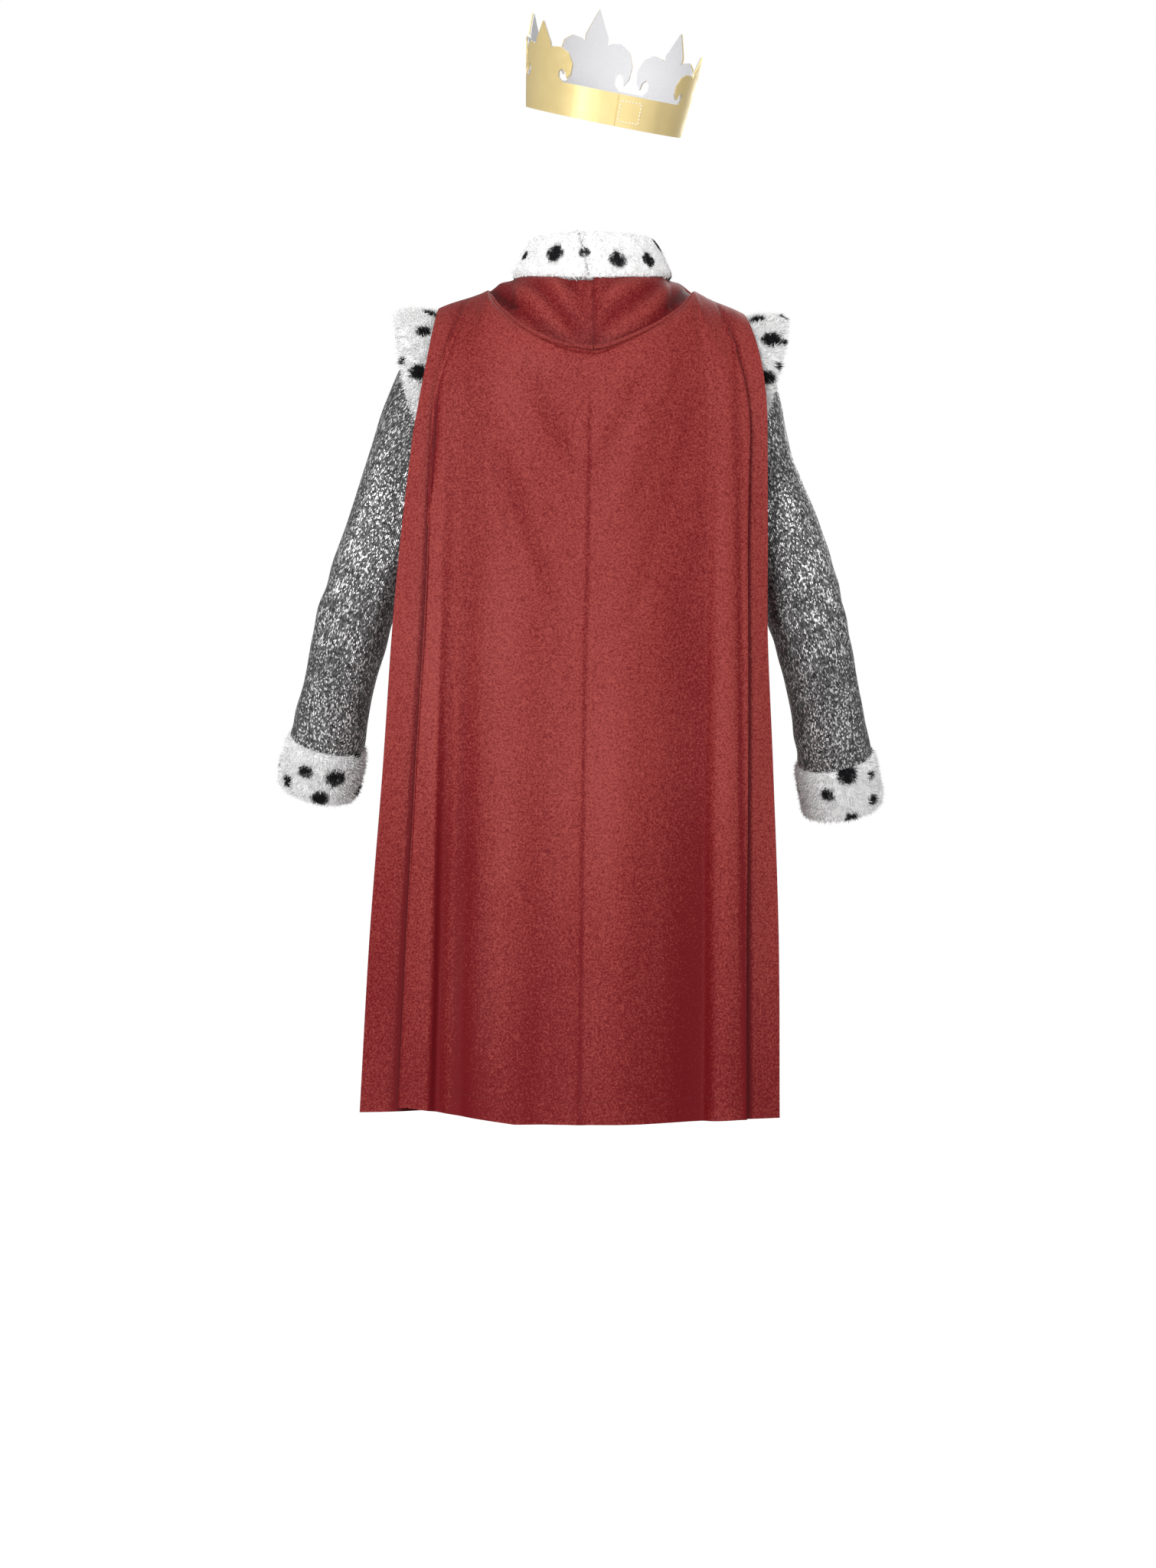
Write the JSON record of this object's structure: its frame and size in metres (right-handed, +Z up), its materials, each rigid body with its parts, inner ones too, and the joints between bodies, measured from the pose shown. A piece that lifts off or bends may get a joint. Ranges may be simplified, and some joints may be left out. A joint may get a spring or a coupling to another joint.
{
  "type": "king costume",
  "caption": "Child's king costume in its worn pose: red tunic with glitter-knit sleeves and spotted fur trim, long red cape and gold cloth crown.",
  "frame": {"origin": "middle of the neck opening, level with the tops of the shoulder seams, where the wearer's shoulders carry the costume", "axes": "+X to the wearer's right, +Y to the wearer's front, +Z up"},
  "size_m": [0.5563, 0.2719, 1.0248],
  "materials": {
    "red_satin": "soft satin",
    "glitter_knit": "knit with metallic thread",
    "spotted_fur": "short white pile with black spots",
    "gold_cloth": "metallic coated cloth",
    "white_felt": "felt"
  },
  "bodies": {
    "root": {"tunic_front": "red_satin", "tunic_back_left": "red_satin", "tunic_back_right": "red_satin", "cape_left": "red_satin", "cape_right": "red_satin", "sleeve_left": "glitter_knit", "sleeve_right": "glitter_knit", "cuff_left": "spotted_fur", "cuff_right": "spotted_fur", "collar": "spotted_fur", "shoulder_wing_left": "spotted_fur", "shoulder_wing_right": "spotted_fur", "crown_face": "gold_cloth", "crown_backing": "white_felt"}
  },
  "joints": []
}
